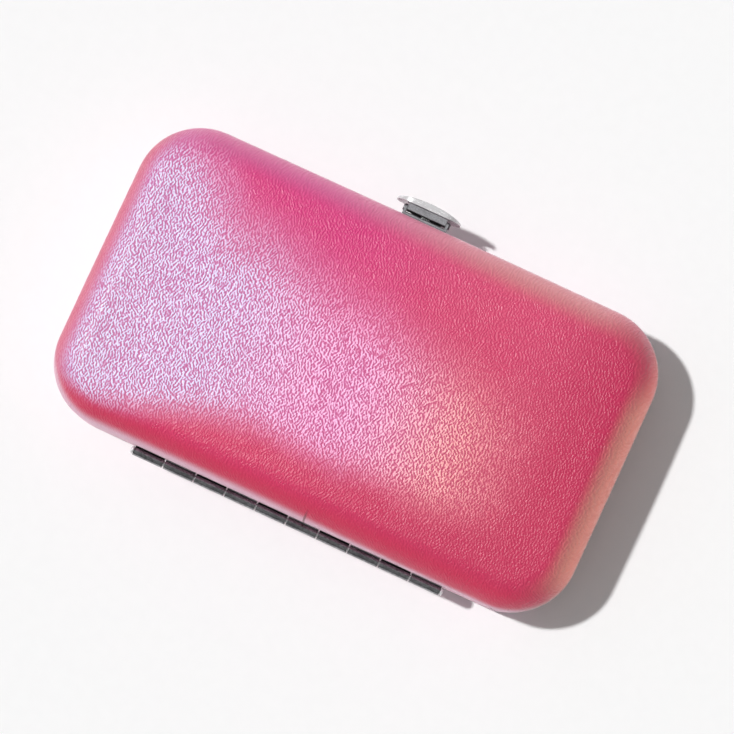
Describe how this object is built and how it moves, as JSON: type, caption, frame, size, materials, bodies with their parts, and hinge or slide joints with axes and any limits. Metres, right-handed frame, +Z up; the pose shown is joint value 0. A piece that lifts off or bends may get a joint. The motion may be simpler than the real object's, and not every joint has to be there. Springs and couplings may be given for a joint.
{
  "type": "contact lens case",
  "caption": "Hard clamshell travel case for contact lenses, with mirror, sprung clasp, piano hinge, screw-capped lens wells, solution bottle, tweezers and applicator.",
  "frame": {"origin": "centre of the flat underside of the closed case", "axes": "+X along the hinge (the long way), +Y from the hinge towards the clasp, +Z up"},
  "size_m": [0.11, 0.0686, 0.025],
  "materials": {
    "base_cover": "satin",
    "lid_cover": "satin",
    "base_shell": "matte",
    "lid_shell": "matte",
    "base_frame": "polished",
    "lid_frame": "polished",
    "base_hinge_leaf": "polished",
    "lid_hinge_leaf": "polished",
    "base_hinge_rivets": "satin",
    "lid_hinge_rivets": "satin",
    "hinge_pin": "satin",
    "catch_spring": "satin",
    "catch_rivets": "satin",
    "tray": "matte",
    "lens_container": "satin",
    "bottle": "satin",
    "bottle_nozzle": "satin",
    "bottle_cap": "gloss",
    "bottle_liner": "matte",
    "tweezers": "gloss",
    "tweezers_tips": "matte",
    "applicator": "gloss",
    "applicator_cup": "matte",
    "lid_liner": "matte",
    "mirror_pad": "matte",
    "mirror_tape": "matte",
    "mirror": "polished",
    "clasp_bracket": "polished",
    "clasp_rivets": "satin",
    "clasp_pin": "satin",
    "lever_spring": "satin",
    "lever_arm": "satin",
    "thumb_plate": "polished",
    "left_seal": "matte",
    "right_seal": "matte",
    "left_cap": "gloss",
    "right_cap": "gloss"
  },
  "bodies": {
    "base": {"base_cover": "base_cover", "base_shell": "base_shell", "base_frame": "base_frame", "base_hinge_leaf": "base_hinge_leaf", "base_hinge_rivets": "base_hinge_rivets", "hinge_pin": "hinge_pin", "catch_spring": "catch_spring", "catch_rivets": "catch_rivets", "tray": "tray", "lens_container": "lens_container", "bottle": "bottle", "bottle_nozzle": "bottle_nozzle", "tweezers": "tweezers", "tweezers_tips": "tweezers_tips", "applicator": "applicator", "applicator_cup": "applicator_cup"},
    "lid": {"lid_cover": "lid_cover", "lid_shell": "lid_shell", "lid_frame": "lid_frame", "lid_hinge_leaf": "lid_hinge_leaf", "lid_hinge_rivets": "lid_hinge_rivets", "lid_liner": "lid_liner", "mirror_pad": "mirror_pad", "mirror_tape": "mirror_tape", "mirror": "mirror", "clasp_bracket": "clasp_bracket", "clasp_rivets": "clasp_rivets", "clasp_pin": "clasp_pin", "lever_spring": "lever_spring"},
    "thumb_lever": {"lever_arm": "lever_arm", "thumb_plate": "thumb_plate"},
    "left_seal_lift": {"left_seal": "left_seal"},
    "left_cap_turn": {"left_cap": "left_cap"},
    "right_seal_lift": {"right_seal": "right_seal"},
    "right_cap_turn": {"right_cap": "right_cap"},
    "bottle_liner_lift": {"bottle_liner": "bottle_liner"},
    "bottle_cap_turn": {"bottle_cap": "bottle_cap"}
  },
  "joints": [
    {"name": "lid_hinge", "type": "hinge", "parent": "base", "child": "lid", "pos_m": [0, -0.03235, 0.0125], "axis": [1, 0, 0], "range_deg": [0, 180], "deforming": ["catch_spring"]},
    {"name": "thumb_lever_pivot", "type": "hinge", "parent": "lid", "child": "thumb_lever", "pos_m": [0, 0.033, 0.0147], "axis": [1, 0, 0], "range_deg": [0, 12], "stiffness_Nm_per_rad": 0.003, "springref_deg": -11.46, "deforming": ["lever_spring"]},
    {"name": "left_seal_rise", "type": "slide", "parent": "base", "child": "left_seal_lift", "axis": [0, 0, 1], "range_m": [0, 0.0015]},
    {"name": "left_cap_screw", "type": "hinge", "parent": "left_seal_lift", "child": "left_cap_turn", "pos_m": [-0.0025, -0.0134, 0.0082], "axis": [0, 0, 1], "range_deg": [0, 180]},
    {"name": "right_seal_rise", "type": "slide", "parent": "base", "child": "right_seal_lift", "axis": [0, 0, 1], "range_m": [0, 0.0015]},
    {"name": "right_cap_screw", "type": "hinge", "parent": "right_seal_lift", "child": "right_cap_turn", "pos_m": [-0.0345, -0.0134, 0.0082], "axis": [0, 0, 1], "range_deg": [0, 180]},
    {"name": "bottle_liner_slide", "type": "slide", "parent": "base", "child": "bottle_liner_lift", "axis": [0, 1, 0], "range_m": [0, 0.0015]},
    {"name": "bottle_cap_screw", "type": "hinge", "parent": "bottle_liner_lift", "child": "bottle_cap_turn", "pos_m": [0.033, 0.015, 0.01025], "axis": [0, 1, 0], "range_deg": [0, 180]}
  ],
  "couplings": [
    {"joint": "left_cap_screw", "follows": "left_seal_rise", "rad_per_m": 2094.4},
    {"joint": "right_cap_screw", "follows": "right_seal_rise", "rad_per_m": 2094.4},
    {"joint": "bottle_cap_screw", "follows": "bottle_liner_slide", "rad_per_m": 2094.4}
  ]
}
